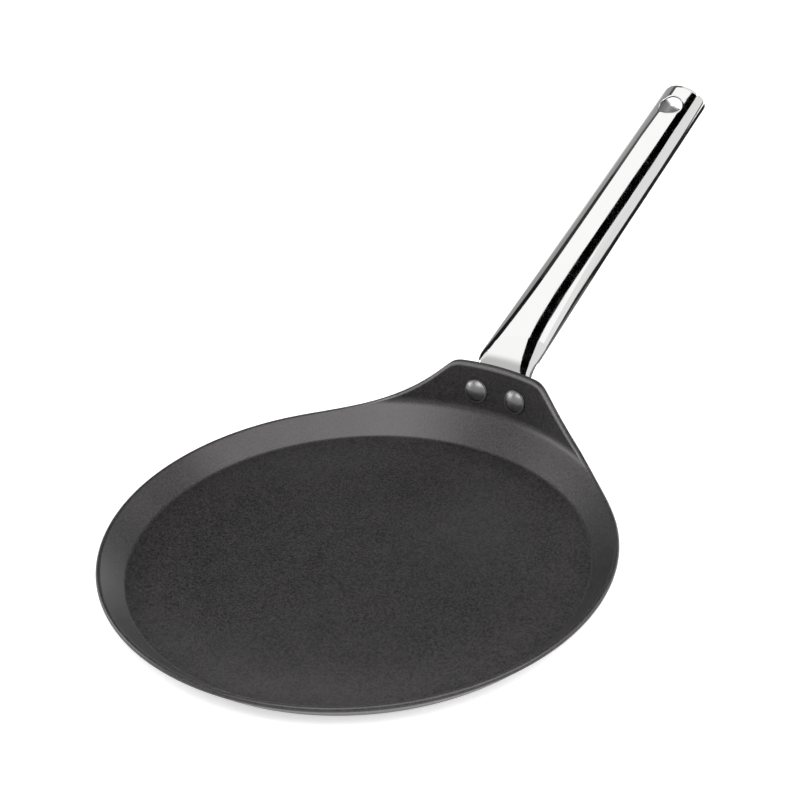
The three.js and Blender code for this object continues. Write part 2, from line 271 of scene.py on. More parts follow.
class Skin:
    """Points and faces of one closed mesh, in millimetres.

    Marks tell a material where its finish differs and where it paints a highlight or shade."""

    def __init__(self):
        self.points = []
        self.marks = []
        self.faces = []
        self.count = 0

    def add(self, points, mark=0.0):
        points = np.asarray(points, float).reshape(-1, 3)
        first = self.count
        self.points.append(points)
        self.marks.append(np.broadcast_to(np.ravel(mark), len(points)))
        self.count += len(points)
        return np.arange(first, self.count)

    def bridge(self, a, b):
        """Quads between two closed loops of indices."""
        n = len(a)
        for i in range(n):
            j = (i + 1) % n
            self.faces.append((a[i], a[j], b[j], b[i]))

    def fan(self, loop, point):
        tip = self.add([point])[0]
        n = len(loop)
        for i in range(n):
            self.faces.append((loop[i], loop[(i + 1) % n], tip))

    def grid(self, table, windows=()):
        """Quads of a table of indices, closed along its second axis, apart from windows.

        A window is its first and last row, then its first and last column."""
        rows, cols = table.shape
        for i in range(rows - 1):
            for j in range(cols):
                if any(r0 <= i < r1 and (j - c0) % cols < c1 - c0 for r0, r1, c0, c1 in windows):
                    continue
                k = (j + 1) % cols
                self.faces.append((table[i, j], table[i, k], table[i + 1, k], table[i + 1, j]))

    def rim(self, table, window):
        """The closed loop of indices round a window."""
        r0, r1, c0, c1 = window
        cols = table.shape[1]
        loop = [(r0, c) for c in range(c0, c1)]
        loop += [(r, c1) for r in range(r0, r1)]
        loop += [(r1, c) for c in range(c1, c0, -1)]
        loop += [(r, c0) for r in range(r1, r0, -1)]
        return np.array([table[r, c % cols] for r, c in loop])

    def build(self, name, material):
        mesh = bpy.data.meshes.new(name)
        points = np.concatenate(self.points) * MM
        faces = [tuple(map(int, face)) for face in self.faces]
        mesh.from_pydata(points.tolist(), [], faces)
        shaped = bmesh.new()
        shaped.from_mesh(mesh)
        bmesh.ops.recalc_face_normals(shaped, faces=shaped.faces)
        shaped.to_mesh(mesh)
        shaped.free()
        marks = mesh.attributes.new(MARK, "FLOAT", "POINT")
        marks.data.foreach_set("value", np.concatenate(self.marks).astype(np.float32))
        mesh.shade_smooth()
        mesh.materials.append(material)
        made = bpy.data.objects.new(name, mesh)
        bpy.context.scene.collection.objects.link(made)
        return made


def hole_rings(skin, loop, flat, centre, radius, place, steps, edge, mark=0.0):
    """Fills between a window's loop and a round hole.

    Flat holds the loop's places on the surface as pairs, and the place function gives the points for pairs.
    Returns the hole's loop of indices and the headings of its points."""
    away = flat - centre
    heading = np.arctan2(away[:, 1], away[:, 0])
    ring = centre + (radius + edge) * np.stack([np.cos(heading), np.sin(heading)], -1)
    last = loop
    for k in range(1, steps + 1):
        share = k / steps
        now = skin.add(place(flat + (ring - flat) * share), mark)
        skin.bridge(last, now)
        last = now
    return last, heading


def evenly(first, last, steps):
    return np.linspace(first, last, steps + 1)[:-1]


# Pan body

RIM_STEPS = 170
CROWN_STEPS = 20
CORNER_STEPS = 12
FLANK_STEPS = 4
FOOT_STEPS = 44
CREASE_STEPS = 8
FOLD_STEPS = 12
LUG_STEPS = 22
EDGE_STEPS = 10
WALL_STEPS = 8
LIP = 3
HIGHLIGHT_RISE = 6  # height of the lug's edge over the rim from which the painted highlight on its edge is at full strength
HIGHLIGHT_FROM = 0.7  # share of the edge's round, from the outside, that keeps the plain coat colour with no painted highlight
HIGHLIGHT_GROWTH = 2  # how fast the painted highlight grows from there
HUB_RADIUS = 21  # slight round mark in the middle of the cooking floor
HUB_GROOVE = 0.12
HUB_GROOVE_WIDTH = 1.6
HUB_REACH = 3  # from the mark to the ends of its fine rows
FIRST_RING = 6  # radius of the first row round the floor's middle
FIRST_STEPS = 3
FLOOR_STEPS = 14
HOLE_RISE = 5.2  # from a rivet hole to the upper and lower side of its patch
HOLE_NEAR = 6.6  # from the lug's middle to the two other sides of the patch
HOLE_FAR = 17.4
HOLE_STEPS = 4


def rim_stations():
    """Angles from the handle's direction and the height of the edge there."""
    side = []
    for start, end, steps in (
        (0, crown_end, CROWN_STEPS),
        (crown_end, flank_start, CORNER_STEPS),
        (flank_start, flank_end, FLANK_STEPS),
        (flank_end, lug_end, FOOT_STEPS),
    ):
        for x in np.linspace(start, end, steps + 1)[1:]:
            rise = lug_rise(x)
            side.append((x / float(sheet_line(rise)[0]), rise))
    foot = side[-1][0]
    plain = [(a, 0.0) for a in np.linspace(foot, 2 * pi - foot, RIM_STEPS + 1)[1:-1]]
    mirrored = [(2 * pi - a, rise) for a, rise in reversed(side)]
    return np.array([(0.0, lug_rise(0)), *side, *plain, *mirrored])


def pan_rows(rise):
    """Distances past the rim's edge, one row per column of the result, for each height of the edge."""
    wanted = np.concatenate(
        [
            evenly(-LIP, 0, 3),
            evenly(0, LUG_BEND_START, 3),
            evenly(LUG_BEND_START, bend_end, FOLD_STEPS),
            np.linspace(bend_end, LUG_HEIGHT, LUG_STEPS + 1),
        ]
    )
    share = np.linspace(0, 1, len(wanted))
    return np.minimum(wanted[None, :], -LIP + (LIP + rise[:, None]) * share[None, :])


def pan_body(material):
    skin = Skin()
    stations = rim_stations()
    angle, rise = stations[:, 0], stations[:, 1]
    wall = np.broadcast_to(evenly(-wall_length, -LIP, WALL_STEPS), (len(rise), WALL_STEPS))
    past = np.concatenate([wall, pan_rows(rise)], 1)
    at = sheet_line(past)
    # Painted highlight: a lighter colour on the inner corner of the lug's rounded edge stands in for the
    # light line that the edge catches
    edge_highlight = np.clip(rise / HIGHLIGHT_RISE, 0, 1)
    tables = {}
    for name, side in (("out", 1), ("in", -1)):
        r, z = beside_line(at, side * at[3])
        turn = wall_angle * np.arange(CREASE_STEPS) / CREASE_STEPS
        crease = (
            floor_radius + crease_radius * np.sin(turn),
            half_sheet + crease_radius * (1 - np.cos(turn)),
            turn,
        )
        crease_r, crease_z = beside_line(crease, side * half_sheet)
        hub_start, hub_end = HUB_RADIUS - HUB_REACH, HUB_RADIUS + HUB_REACH
        floor_r = np.concatenate(
            [
                evenly(FIRST_RING, hub_start, FIRST_STEPS),
                evenly(hub_start, hub_end, FLOOR_STEPS),
                evenly(hub_end, float(crease_r[0]), FLOOR_STEPS),
            ]
        )
        floor_z = np.full(len(floor_r), half_sheet - side * half_sheet)
        if side < 0:
            floor_z -= HUB_GROOVE * np.exp(-(((floor_r - HUB_RADIUS) / HUB_GROOVE_WIDTH) ** 2))
        round_rows = (len(rise), len(floor_r) + CREASE_STEPS)
        full_r = np.concatenate([np.broadcast_to(np.concatenate([floor_r, crease_r]), round_rows), r], 1)
        full_z = np.concatenate([np.broadcast_to(np.concatenate([floor_z, crease_z]), round_rows), z], 1)
        points = round_pan(angle[:, None], full_r, full_z)
        start = full_r.shape[1] - past.shape[1]
        painted_highlight = np.zeros((full_r.shape[1], len(rise)))
        if side < 0:
            painted_highlight[-1] = edge_highlight
        tables[name] = skin.add(points.transpose(1, 0, 2), painted_highlight).reshape(full_r.shape[1], len(rise))
    end = sheet_line(rise)
    loops = []
    for k in range(1, EDGE_STEPS):
        turn = end[2] - pi / 2 + pi * k / EDGE_STEPS
        painted_highlight = edge_highlight * np.clip((k / EDGE_STEPS - HIGHLIGHT_FROM) / (1 - HIGHLIGHT_FROM) * HIGHLIGHT_GROWTH, 0, 1)
        edge = round_pan(angle, end[0] + end[3] * np.cos(turn), end[1] + end[3] * np.sin(turn))
        loops.append(skin.add(edge, painted_highlight))

    # Rivet holes: windows in the lug, from the row and column numbers round the seats
    across = ((angle + pi) % (2 * pi) - pi) * seat[0]
    row0 = start + int(np.argmin(np.abs(past[0] - (seat_past - HOLE_RISE))))
    row1 = start + int(np.argmin(np.abs(past[0] - (seat_past + HOLE_RISE))))
    windows = []
    for side in (-1, 1):
        cols = [int(np.argmin(np.abs(across - side * place))) for place in (HOLE_NEAR, HOLE_FAR)]
        first, last = sorted(cols, key=lambda column: across[column])
        windows.append((row0, row1, first, last))
    for name in ("out", "in"):
        skin.grid(tables[name], windows)
    chain = [tables["out"][-1], *loops, tables["in"][-1]]
    for a, b in zip(chain, chain[1:]):
        skin.bridge(a, b)
    skin.fan(tables["out"][0], (0, 0, 0))
    skin.fan(tables["in"][0], (0, 0, SHEET))
    for (r0, r1, c0, c1), sign in zip(windows, (-1, 1)):
        ends = []
        for name, side in (("out", 1), ("in", -1)):
            table = tables[name]
            loop = skin.rim(table, (r0, r1, c0, c1))
            where = {int(table[i, j]): (i, j) for i in range(r0, r1 + 1) for j in range(c0, c1 + 1)}
            pairs = [where[int(v)] for v in loop]
            flat = np.array([(across[j], past[j, i - start]) for i, j in pairs])

            def place(pair, side=side):
                line = sheet_line(pair[:, 1])
                r, z = beside_line(line, side * line[3])
                return round_pan(pair[:, 0] / seat[0], r, z)

            centre = np.array([sign * rivet_angle * seat[0], seat_past])
            ends.append(hole_rings(skin, loop, flat, centre, rivet_hole, place, HOLE_STEPS, 0)[0])
        skin.bridge(*ends)
    return skin.build("pan", material)


# Handle

ROUND = 144  # points round the section
TUBE_STEPS = 110
TURN_STEPS = 24
EDGE_ROUND = 0.35  # radius of the tube's broken edges
HOLE_WINDOW = 10.5  # from the hanging hole's centre to the ends of its patch
HOLE_COLUMNS = 20
WINDOW_STEPS = 20
HANG_STEPS = 6
BORE_STEPS = 40
ARC_STEPS = 4
TAIL_ROWS = (0.0, 0.12, 0.35, 0.75, 1.4, 2.3, 3.4, 4.6)  # from the tongue's lower end
TAIL_INSETS = (0.6, 0.3, 0.1, 0, 0, 0, 0, 0)  # round its broken edge
TONGUE_WINDOW = 5.4  # from a rivet hole to the ends of its patch in the tongue
TONGUE_SIDES = (22.5, 57.5)  # turns of the patch's two other sides from the upper side's middle, in degrees
TONGUE_STEPS = 3


def handle(material):
    skin = Skin()
    u = 2 * pi * np.arange(ROUND) / ROUND
    hole_at = handle_end - HANG_HOLE_INSET
    turn_end = tongue_length + turn_length
    window = (hole_at - HOLE_WINDOW, hole_at + HOLE_WINDOW)
    rivet_rows = (TONGUE_TAIL - TONGUE_WINDOW, TONGUE_TAIL + TONGUE_WINDOW)
    outer = np.concatenate(
        [
            TAIL_ROWS,
            evenly(*rivet_rows, 10),
            evenly(rivet_rows[1], tongue_length, 5),
            evenly(tongue_length, turn_end, TURN_STEPS),
            evenly(turn_end, window[0], TUBE_STEPS),
            evenly(*window, WINDOW_STEPS),
            np.linspace(window[1], handle_end - EDGE_ROUND, 4),
        ]
    )
    outer_inset = np.zeros(len(outer))
    outer_inset[: len(TAIL_INSETS)] = TAIL_INSETS
    arc = np.linspace(0, pi / 2, ARC_STEPS + 1)
    lip = handle_end - EDGE_ROUND + EDGE_ROUND * np.sin(arc[1:])
    lip_inset = EDGE_ROUND * (1 - np.cos(arc[1:]))
    back_inset = HANDLE_WALL - EDGE_ROUND * (1 - np.sin(arc))
    back = handle_end - EDGE_ROUND + EDGE_ROUND * np.cos(arc)
    pressed_shut = 2 * HANDLE_WALL / HANDLE_END_HEIGHT
    bore_start = tongue_length + tube_length * pressed_shut
    bore = np.concatenate(
        [
            evenly(back[-1], window[1], 3)[1:],
            evenly(window[1], window[0], WINDOW_STEPS),
            np.linspace(window[0], bore_start, BORE_STEPS),
        ]
    )
    d = np.concatenate([outer, lip, back, bore])
    inset = np.concatenate([outer_inset, lip_inset, back_inset, np.full(len(bore), HANDLE_WALL)])
    points = handle_skin(d[:, None], u[None, :], inset[:, None])
    # Mark of the bore, where the steel is rough and darkened with painted shade
    inside = np.repeat(np.arange(len(d)) >= len(d) - len(bore), ROUND)
    table = skin.add(points, inside).reshape(len(d), ROUND)

    def row_of(distance, first, last):
        return first + int(np.argmin(np.abs(d[first:last] - distance)))

    n_outer = len(outer)
    n_bore = len(d) - len(bore)
    rows_out = sorted(row_of(w, 0, n_outer) for w in window)
    rows_in = sorted(row_of(w, n_bore, len(d)) for w in window)
    windows = {}
    for under in (False, True):
        c = ROUND // 2 if under else 0
        windows["out", under] = (*rows_out, c - HOLE_COLUMNS, c + HOLE_COLUMNS)
        windows["in", under] = (*rows_in, c - HOLE_COLUMNS, c + HOLE_COLUMNS)
    rows_rivet = sorted(row_of(w, 0, n_outer) for w in rivet_rows)
    near, far = (int(round(radians(a) / (2 * pi) * ROUND)) for a in TONGUE_SIDES)
    c = ROUND // 2
    for sign in (-1, 1):
        top = (near, far) if sign > 0 else (-far, -near)
        bottom = (c - far, c - near) if sign > 0 else (c + near, c + far)
        windows["top", sign] = (*rows_rivet, *top)
        windows["bottom", sign] = (*rows_rivet, *bottom)
    skin.grid(table, list(windows.values()))
    skin.fan(table[0], handle_skin(0.0, np.array([0.0, pi]), TAIL_INSETS[0]).mean(0))
    skin.fan(table[-1], handle_skin(bore_start, np.array([0.0, pi]), HANDLE_WALL).mean(0))

    def fill(key, centre, radius, depth, under, steps, edge):
        """Patch round one hole. Returns its loop, its headings and the function that places its points."""
        r0, r1, c0, c1 = windows[key]
        loop = skin.rim(table, windows[key])
        cells = [(i, j % ROUND) for i in range(r0, r1 + 1) for j in range(c0, c1 + 1)]
        where = {int(table[cell]): cell for cell in cells}
        flat = np.array([(d[i], points[i, j, 0]) for i, j in (where[int(v)] for v in loop)])

        def place(pair):
            return handle_skin(pair[:, 0], turn_of(pair[:, 0], pair[:, 1], depth, under), depth)

        # Patches in the bore carry its mark: rough steel with painted shade
        mark = float(key[0] == "in")
        last, heading = hole_rings(skin, loop, flat, centre, radius, place, steps, edge, mark)
        return last, heading, place

    # Hanging hole, with broken edges
    angle = upper_side(hole_at)[2]
    up = np.array([0, -sin(angle), cos(angle)])
    centre = np.array([hole_at, 0.0])
    for under in (False, True):
        into = up if under else -up
        radius = HANG_HOLE_DIAMETER / 2
        chains = []
        for key, depth, way in ((("out", under), 0, 1), (("in", under), HANDLE_WALL, -1)):
            last, heading, place = fill(key, centre, radius, depth, under, HANG_STEPS, EDGE_ROUND)
            chain = [last]
            for a in arc[1:]:
                reach = radius + EDGE_ROUND * (1 - sin(a))
                pair = centre + reach * np.stack([np.cos(heading), np.sin(heading)], -1)
                chain.append(skin.add(place(pair) + way * EDGE_ROUND * (1 - cos(a)) * into))
            chains.append((chain, heading))
        (outside, head_out), (inside, head_in) = chains
        order = match_loops(head_out, head_in)
        chain = outside + [loop[order] for loop in reversed(inside)]
        for a, b in zip(chain, chain[1:]):
            skin.bridge(a, b)

    # Rivet holes in the tongue
    for sign in (-1, 1):
        centre = np.array([TONGUE_TAIL, sign * RIVET_PITCH / 2])
        top, head_top, _ = fill(("top", sign), centre, rivet_hole, 0, False, TONGUE_STEPS, 0)
        bottom, head_bottom, _ = fill(("bottom", sign), centre, rivet_hole, 0, True, TONGUE_STEPS, 0)
        skin.bridge(top, bottom[match_loops(head_top, head_bottom)])
    return skin.build("handle_tube", material)


def match_loops(a, b):
    """Numbers of b's points in the order that runs with a's, by their headings."""
    direction = 1 if winding(a) == winding(b) else -1
    order = np.arange(len(b))[::direction]
    gaps = np.abs(np.angle(np.exp(1j * (b[order] - a[0]))))
    return np.roll(order, -int(np.argmin(gaps)))


def winding(heading):
    return np.angle(np.exp(1j * np.diff(heading))).sum() > 0


# Rivets

RIVET_ROUND = 72
DOME_STEPS = 14
FLANGE_STEPS = 5
FLANGE = 0.45  # from the head's edge to the foot of its cap
FLANGE_HEIGHT = 0.5
FLANGE_ROUND = 0.3
FLANGE_BREAK = 0.1  # of its lower edge, and of the groove round the cap
CAP_FILLET = 0.02


def head_profile(diameter, dome, base):
    """Radii, heights and marks of a round cap on a flange."""
    radius = diameter / 2
    foot = radius - FLANGE
    low = base + FLANGE_HEIGHT
    top = base + RIVET_HEAD_EDGE + dome
    ball = (foot**2 + (top - low) ** 2) / (2 * (top - low))
    widest = asin(foot / ball)
    # Mark 1 on the flange and its edges, where the rivet's material paints shade
    profile = [(radius - FLANGE_BREAK, base, 1), (radius, base + FLANGE_BREAK, 1)]
    for turn in np.linspace(0, pi / 2, FLANGE_STEPS + 1):
        inset = FLANGE_ROUND * (1 - cos(turn))
        profile.append((radius - inset, low - FLANGE_ROUND * (1 - sin(turn)), 1))
    profile += [(foot + FLANGE_BREAK, low, 1), (foot + CAP_FILLET, low + CAP_FILLET, 1)]
    for k in range(DOME_STEPS):
        turn = widest * (1 - k / DOME_STEPS)
        profile.append((ball * sin(turn), top - ball * (1 - cos(turn)), 0))
    return profile, top


def rivet(name, side, material):
    """A shank with two heads. Side is -1 or 1 for left or right."""
    skin = Skin()
    direction = pi / 2 - side * rivet_angle
    outward = np.array([cos(direction), sin(direction), 0])
    across = np.array([-sin(direction), cos(direction), 0])
    centre = outward * seat[0] + np.array([0, 0, seat[1]])
    axis = outward * -sin(seat[2]) + np.array([0, 0, cos(seat[2])])
    other = np.cross(axis, across)
    turn = 2 * pi * np.arange(RIVET_ROUND) / RIVET_ROUND
    spokes = np.cos(turn)[:, None] * across + np.sin(turn)[:, None] * other
    front, front_top = head_profile(RIVET_INNER_DIAMETER, RIVET_INNER_DOME, inner_seat)
    rear, rear_top = head_profile(RIVET_OUTER_DIAMETER, RIVET_OUTER_DOME, outer_seat)
    shank = RIVET_SHANK_DIAMETER / 2
    profile = [(r, -h, mark) for r, h, mark in reversed(rear)]
    profile += [(shank, -outer_seat, 0), (shank, inner_seat, 0), *front]
    loops = [skin.add(centre + r * spokes + h * axis, float(mark)) for r, h, mark in profile]
    for a, b in zip(loops, loops[1:]):
        skin.bridge(a, b)
    skin.fan(loops[0], centre - rear_top * axis)
    skin.fan(loops[-1], centre + front_top * axis)
    return skin.build(name, material)


# Materials


def new_material(name):
    material = bpy.data.materials.new(name)
    material.use_nodes = True
    tree = material.node_tree
    return material, tree, tree.nodes["Principled BSDF"]


def add_node(tree, kind, **values):
    """A node with its properties and its inputs' values set by name."""
    node = tree.nodes.new(kind)
    for key, value in values.items():
        if hasattr(node, key):
            setattr(node, key, value)
        else:
            node.inputs[key.replace("_", " ")].default_value = value
    return node


def ramp(tree, source, stops):
    """A colour ramp over a value. Stops are pairs of place and grey or colour."""
    node = tree.nodes.new("ShaderNodeValToRGB")
    elements = node.color_ramp.elements
    while len(elements) < len(stops):
        elements.new(0.5)
    for element, (place, colour) in zip(elements, stops):
        element.position = place
        shade = (colour,) * 3 if isinstance(colour, (int, float)) else colour
        element.color = (*shade, 1)
    tree.links.new(source, node.inputs["Fac"])
    return node.outputs["Color"]


# Gloss of the coat by distance from the pan's middle. The floor is rubbed dull, most along its round mark
GLOSS = ((16, 0.345), (20.5, 0.29), (23.5, 0.3), (28, 0.335), (50, 0.34), (80, 0.41))
GLOSS += ((104, 0.62), (112, 0.62), (117, 0.5))
MOTTLE = 0.15  # share of the broad mottling in the coat's grain


def coat_material():
    """Dark non-stick coat: fine grain and faint mottling, with a painted highlight of lighter colour along
    the inner corner of the lug's edge.
    """
    material, tree, shader = new_material("nonstick_coat")
    shader.inputs["IOR"].default_value = 1.5
    shader.inputs["Specular Tint"].default_value = (1.0, 0.963, 0.982, 1)
    place = tree.nodes.new("ShaderNodeTexCoord").outputs["Object"]
    grain = add_node(tree, "ShaderNodeTexNoise", Scale=880.0, Detail=3.0, Roughness=0.65)
    mottle = add_node(tree, "ShaderNodeTexNoise", Scale=70.0, Detail=3.0, Roughness=0.55)
    for node in (grain, mottle):
        tree.links.new(place, node.inputs["Vector"])
    mixed = add_node(tree, "ShaderNodeMath", operation="MULTIPLY_ADD")
    tree.links.new(mottle.outputs["Fac"], mixed.inputs[0])
    mixed.inputs[1].default_value = MOTTLE
    tree.links.new(grain.outputs["Fac"], mixed.inputs[2])
    coated = ramp(tree, mixed.outputs[0], [(0.4, (0.0, 0.0, 0.0)), (0.75, (0.0275, 0.0255, 0.0265))])
    # Painted highlight: the lighter colour laid along the lug's edge by the mark
    painted_highlight = ramp(tree, grain.outputs["Fac"], [(0.3, (0.095, 0.091, 0.093)), (0.7, (0.15, 0.145, 0.147))])
    edge_highlight = add_node(tree, "ShaderNodeAttribute", attribute_name=MARK)
    colour = add_node(tree, "ShaderNodeMix", data_type="RGBA")
    tree.links.new(edge_highlight.outputs["Fac"], colour.inputs["Factor"])
    tree.links.new(coated, colour.inputs["A"])
    tree.links.new(painted_highlight, colour.inputs["B"])
    tree.links.new(colour.outputs["Result"], shader.inputs["Base Color"])
    rough = ramp(tree, grain.outputs["Fac"], [(0.3, 0.31), (0.7, 0.41)])
    tree.links.new(rough, shader.inputs["Roughness"])
    level = add_node(tree, "ShaderNodeVectorMath", operation="MULTIPLY")
    tree.links.new(place, level.inputs[0])
    level.inputs[1].default_value = (1, 1, 0)
    radius = add_node(tree, "ShaderNodeVectorMath", operation="LENGTH")
    tree.links.new(level.outputs["Vector"], radius.inputs[0])
    gloss = ramp(tree, radius.outputs["Value"], [(r * MM, value) for r, value in GLOSS])
    tree.links.new(gloss, shader.inputs["Specular IOR Level"])
    bump = add_node(tree, "ShaderNodeBump", Strength=0.5, Distance=0.00015)
    tree.links.new(grain.outputs["Fac"], bump.inputs["Height"])
    tree.links.new(bump.outputs["Normal"], shader.inputs["Normal"])
    return material


def steel_material():
    """Stainless steel, mirror-polished outside; rough in the bore, with painted shade there: a much darker
    colour.
    """
    material, tree, shader = new_material("polished_steel")
    shader.inputs["Metallic"].default_value = 1
    place = tree.nodes.new("ShaderNodeTexCoord").outputs["Object"]
    haze = add_node(tree, "ShaderNodeTexNoise", Scale=90.0, Detail=3.0)
    tree.links.new(place, haze.inputs["Vector"])
    inside = add_node(tree, "ShaderNodeAttribute", attribute_name=MARK)
    # Painted shade: the bore's colour is far darker than the steel's, standing in for the shade inside the
    # tube
    colour = ramp(tree, inside.outputs["Fac"], [(0.0, (0.74, 0.74, 0.735)), (1.0, (0.2, 0.2, 0.198))])
    tree.links.new(colour, shader.inputs["Base Color"])
    polished = ramp(tree, haze.outputs["Fac"], [(0.35, 0.03), (0.7, 0.065)])
    dull = ramp(tree, haze.outputs["Fac"], [(0.35, 0.3), (0.7, 0.4)])
    rough = add_node(tree, "ShaderNodeMix", data_type="RGBA")
    tree.links.new(inside.outputs["Fac"], rough.inputs["Factor"])
    tree.links.new(polished, rough.inputs["A"])
    tree.links.new(dull, rough.inputs["B"])
    tree.links.new(rough.outputs["Result"], shader.inputs["Roughness"])
    return material


def rivet_material():
    """Satin aluminium, with painted shade: a darker colour along the heads' flanges."""
    material, tree, shader = new_material("rivet_aluminium")
    shader.inputs["Metallic"].default_value = 1
    place = tree.nodes.new("ShaderNodeTexCoord").outputs["Object"]
    grain = add_node(tree, "ShaderNodeTexNoise", Scale=1800.0, Detail=3.0)
    tree.links.new(place, grain.inputs["Vector"])
    plain_metal = ramp(tree, grain.outputs["Fac"], [(0.3, (0.165, 0.163, 0.163)), (0.7, (0.185, 0.183, 0.183))])
    # Painted shade: the flanges' darker colour stands in for the shade round the heads' lower edges
    flange_shade = ramp(tree, grain.outputs["Fac"], [(0.3, (0.12, 0.119, 0.119)), (0.7, (0.14, 0.139, 0.139))])
    flange = add_node(tree, "ShaderNodeAttribute", attribute_name=MARK)
    colour = add_node(tree, "ShaderNodeMix", data_type="RGBA")
    tree.links.new(flange.outputs["Fac"], colour.inputs["Factor"])
    tree.links.new(plain_metal, colour.inputs["A"])
    tree.links.new(flange_shade, colour.inputs["B"])
    tree.links.new(colour.outputs["Result"], shader.inputs["Base Color"])
    rough = ramp(tree, grain.outputs["Fac"], [(0.3, 0.31), (0.7, 0.34)])
    tree.links.new(rough, shader.inputs["Roughness"])
    bump = add_node(tree, "ShaderNodeBump", Strength=0.1, Distance=0.00002)
    tree.links.new(grain.outputs["Fac"], bump.inputs["Height"])
    tree.links.new(bump.outputs["Normal"], shader.inputs["Normal"])
    return material


coat = coat_material()
steel = steel_material()
rivet_metal = rivet_material()

for piece, node, slot in (
    (pan_body(coat), "pan_body", "coat"),
    (handle(steel), "handle", "polished_steel"),
    (rivet("left_rivet", -1, rivet_metal), "rivet_left", "rivet_metal"),
    (rivet("right_rivet", 1, rivet_metal), "rivet_right", "rivet_metal"),
):
    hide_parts(node)
    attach(piece, "root")

# Camera

LENS = 99.25
SENSOR = 36
CAMERA_PLACE = (545.773, -721.642, 638.942)
CAMERA_RIGHT = (0.831802, 0.552418, -0.054215)
CAMERA_UP = (-0.246890, 0.455686, 0.855217)
CAMERA_FORWARD = (-0.497142, 0.697986, -0.515427)

camera_data = bpy.data.cameras.new("camera")
camera_data.lens = LENS
camera_data.sensor_width = SENSOR
camera = bpy.data.objects.new("camera", camera_data)
bpy.context.scene.collection.objects.link(camera)
axes = Matrix((CAMERA_RIGHT, CAMERA_UP, [-v for v in CAMERA_FORWARD])).transposed()
camera.matrix_world = Matrix.Translation([v * MM for v in CAMERA_PLACE]) @ axes.to_4x4()
bpy.context.scene.camera = camera

# Floor, background and light

bpy.context.scene.view_settings.view_transform = "Standard"


def flat_mesh(name, corners, material, faces=None):
    mesh = bpy.data.meshes.new(name)
    mesh.from_pydata([[v * MM for v in c] for c in corners], [], faces or [tuple(range(len(corners)))])
    mesh.materials.append(material)
    made = bpy.data.objects.new(name, mesh)
    bpy.context.scene.collection.objects.link(made)
    return made


def seen_rays(tree):
    """One for rays from the camera, from gloss and through glass, and nought for light on surfaces."""
    path = tree.nodes.new("ShaderNodeLightPath")
    shown = path.outputs["Is Camera Ray"]
    for name in ("Is Glossy Ray", "Is Transmission Ray"):
        most = add_node(tree, "ShaderNodeMath", operation="MAXIMUM")
        tree.links.new(shown, most.inputs[0])
        tree.links.new(path.outputs[name], most.inputs[1])
        shown = most.outputs[0]
    return shown


FLOOR_GLOW = 0.6  # lifts the lit paper to white where it is seen, and leaves the shadow
floor_material, floor_tree, floor_shader = new_material("paper_floor")
floor_shader.inputs["Base Color"].default_value = (0.82, 0.82, 0.82, 1)
floor_shader.inputs["Roughness"].default_value = 0.9
floor_shader.inputs["Specular IOR Level"].default_value = 0.1
floor_shader.inputs["Emission Color"].default_value = (1, 1, 1, 1)
glow = add_node(floor_tree, "ShaderNodeMath", operation="MULTIPLY")
floor_tree.links.new(seen_rays(floor_tree), glow.inputs[0])
glow.inputs[1].default_value = FLOOR_GLOW
floor_tree.links.new(glow.outputs[0], floor_shader.inputs["Emission Strength"])
FLOOR_REACH = 6000
FLOOR_DROP = -0.1
flat_mesh(
    "floor",
    [(sx * FLOOR_REACH, sy * FLOOR_REACH, FLOOR_DROP) for sx, sy in ((-1, -1), (1, -1), (1, 1), (-1, 1))],
    floor_material,
)

AMBIENT = 0.15  # light from all round that falls on surfaces
BACKGROUND = 1.0  # where it is seen or mirrored
world = bpy.data.worlds.new("studio")
bpy.context.scene.world = world
world.use_nodes = True
tree = world.node_tree
tree.nodes.clear()
shown = seen_rays(tree)
dim = add_node(tree, "ShaderNodeBackground", Color=(1, 1, 1, 1), Strength=AMBIENT)
bright = add_node(tree, "ShaderNodeBackground", Color=(1, 1, 1, 1), Strength=BACKGROUND)
mix = tree.nodes.new("ShaderNodeMixShader")
tree.links.new(shown, mix.inputs[0])
tree.links.new(dim.outputs[0], mix.inputs[1])
tree.links.new(bright.outputs[0], mix.inputs[2])
output = tree.nodes.new("ShaderNodeOutputWorld")
tree.links.new(mix.outputs[0], output.inputs["Surface"])


LAMP_DISTANCE = 1300


def softbox(name, heading, height, size, radiance):
    """A flat lamp that faces the pan from a direction: degrees round from +X, and degrees up."""
    turn, lift = radians(heading), radians(height)
    away = Vector((cos(turn) * cos(lift), sin(turn) * cos(lift), sin(lift)))
    lamp = bpy.data.lights.new(name, "AREA")
    lamp.shape = "RECTANGLE"
    lamp.size = size[0] * MM
    lamp.size_y = size[1] * MM
    lamp.energy = radiance * pi * lamp.size * lamp.size_y
    made = bpy.data.objects.new(name, lamp)
    bpy.context.scene.collection.objects.link(made)
    made.location = away * LAMP_DISTANCE * MM
    made.rotation_euler = away.to_track_quat("Z", "Y").to_euler()
    made.visible_camera = False


softbox("front_light", 310, 60, (1000, 900), 3.3)
softbox("front_left_light", 262, 55, (600, 600), 3.7)
softbox("left_light", 197, 22, (700, 500), 5.2)
softbox("right_light", 7, 40, (900, 800), 3.9)
softbox("right_low_light", 52, 27, (600, 450), 2.9)


